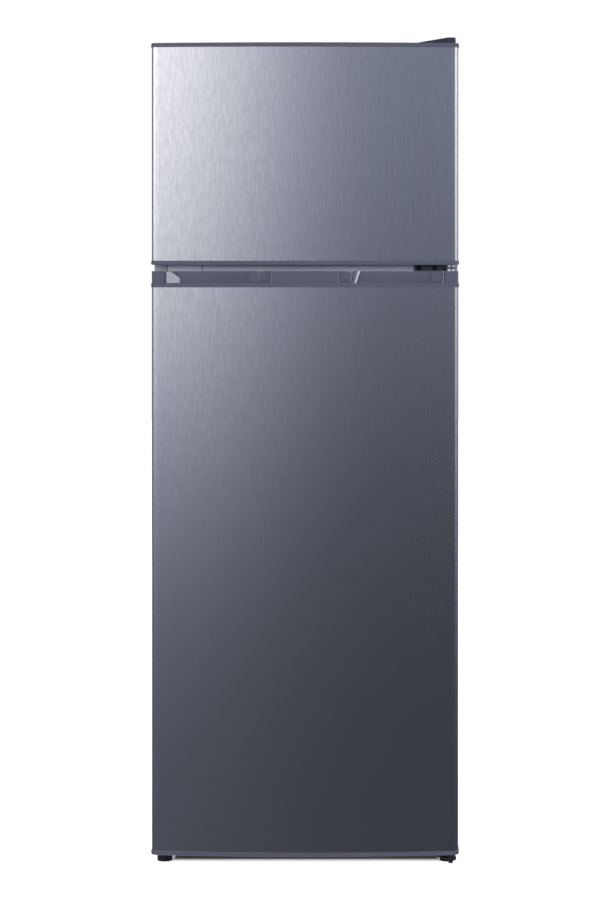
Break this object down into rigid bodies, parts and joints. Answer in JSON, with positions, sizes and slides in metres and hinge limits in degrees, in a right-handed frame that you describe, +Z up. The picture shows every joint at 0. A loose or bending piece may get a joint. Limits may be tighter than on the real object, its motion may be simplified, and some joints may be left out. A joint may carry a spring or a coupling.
{
  "type": "top freezer refrigerator",
  "caption": "Free-standing two-door refrigerator with the freezer above, bowed brushed-steel doors, grip pockets in the trim between the doors and hinges on the right",
  "frame": {"origin": "centre of the plan on the floor, under the feet", "axes": "+Z up, -Y towards the person who opens the doors, +X to that person's right"},
  "size_m": [0.5424, 0.5725, 1.4637],
  "materials": {
    "door_steel": "satin",
    "trim_grey": "satin",
    "cabinet_paint": "satin",
    "rail_paint": "satin",
    "liner_white": "gloss",
    "foam": "matte",
    "gasket_grey": "matte",
    "zinc": "satin",
    "hinge_dark": "satin",
    "screw_black": "satin",
    "foot_black": "matte",
    "hinge_grey": "satin",
    "shelf_glass": "gloss",
    "clear_plastic": "gloss",
    "compressor_black": "satin",
    "copper": "satin",
    "condenser_black": "satin",
    "galvanised": "satin",
    "mount_rubber": "matte",
    "wire_white": "gloss",
    "lens": "gloss",
    "dark_plastic": "satin"
  },
  "bodies": {
    "cabinet": {"cabinet_shell": "cabinet_paint", "back_panel": "galvanised", "base_deck": "galvanised", "centre_rail": "rail_paint", "side_insulation": "foam", "deck_insulation": "foam", "rear_insulation": "foam", "freezer_liner": "liner_white", "fridge_liner": "liner_white", "top_hinge": "zinc", "hinge_screws": "screw_black", "top_hinge_cover": "trim_grey", "middle_hinge": "hinge_grey", "hinge_blank": "rail_paint", "bottom_hinge": "hinge_dark", "compressor_plate": "galvanised", "roller_axles": "zinc", "compressor": "compressor_black", "compressor_mounts": "mount_rubber", "terminal_box": "dark_plastic", "drain_pan": "dark_plastic", "condenser_tube": "condenser_black", "condenser_wires": "condenser_black", "condenser_brackets": "dark_plastic", "pipework": "copper", "cord_gland": "mount_rubber", "glass_shelves": "shelf_glass", "shelf_trims": "liner_white", "crisper_cover": "shelf_glass", "control_housing": "liner_white", "lamp_lens": "lens", "switch_body": "liner_white", "freezer_wire_shelf": "wire_white"},
    "freezer_door": {"freezer_door_skin": "door_steel", "freezer_door_top_cap": "trim_grey", "freezer_door_bottom_cap": "trim_grey", "freezer_door_foam": "foam", "freezer_door_liner": "liner_white", "freezer_door_gasket": "gasket_grey", "freezer_door_bushes": "zinc", "freezer_lower_bin": "clear_plastic", "freezer_upper_bin": "clear_plastic"},
    "fridge_door": {"fridge_door_skin": "door_steel", "fridge_door_bottom_cap": "trim_grey", "fridge_door_top_cap": "trim_grey", "fridge_door_grips": "trim_grey", "fridge_door_foam": "foam", "fridge_door_liner": "liner_white", "fridge_door_gasket": "gasket_grey", "fridge_door_bushes": "zinc", "bottle_bin": "clear_plastic", "middle_bin": "clear_plastic", "upper_bin": "clear_plastic"},
    "crisper": {"crisper_drawer": "clear_plastic"},
    "knob": {"thermostat_knob": "liner_white"},
    "plunger": {"switch_plunger": "liner_white"},
    "foot_left": {"foot_left": "foot_black"},
    "foot_right": {"foot_right": "foot_black"},
    "roller_left": {"roller_left": "dark_plastic"},
    "roller_right": {"roller_right": "dark_plastic"}
  },
  "joints": [
    {"name": "freezer_door_hinge", "type": "hinge", "parent": "cabinet", "child": "freezer_door", "pos_m": [0.257, -0.24808, 1.0565], "axis": [0, 0, 1], "range_deg": [0, 125]},
    {"name": "fridge_door_hinge", "type": "hinge", "parent": "cabinet", "child": "fridge_door", "pos_m": [0.257, -0.24808, 1.0565], "axis": [0, 0, 1], "range_deg": [0, 125]},
    {"name": "crisper_slide", "type": "slide", "parent": "cabinet", "child": "crisper", "axis": [0, -1, 0], "range_m": [0, 0.035]},
    {"name": "thermostat_turn", "type": "hinge", "parent": "cabinet", "child": "knob", "pos_m": [0.052, -0.10408, 1.0085], "axis": [0, -1, 0], "range_deg": [0, 270]},
    {"name": "door_switch", "type": "slide", "parent": "cabinet", "child": "plunger", "axis": [0, -1, 0], "range_m": [0, 0.008]},
    {"name": "foot_left_turn", "type": "hinge", "parent": "cabinet", "child": "foot_left", "pos_m": [-0.252, -0.20708, 0], "axis": [0, 0, 1], "continuous": true},
    {"name": "foot_right_turn", "type": "hinge", "parent": "cabinet", "child": "foot_right", "pos_m": [0.252, -0.20708, 0], "axis": [0, 0, 1], "continuous": true},
    {"name": "roller_left_spin", "type": "hinge", "parent": "cabinet", "child": "roller_left", "pos_m": [-0.225, 0.21792, 0.015], "axis": [1, 0, 0], "continuous": true},
    {"name": "roller_right_spin", "type": "hinge", "parent": "cabinet", "child": "roller_right", "pos_m": [0.225, 0.21792, 0.015], "axis": [1, 0, 0], "continuous": true}
  ],
  "couplings": [
    {"joint": "door_switch", "follows": "fridge_door_hinge", "m_per_rad": 0.003667}
  ]
}
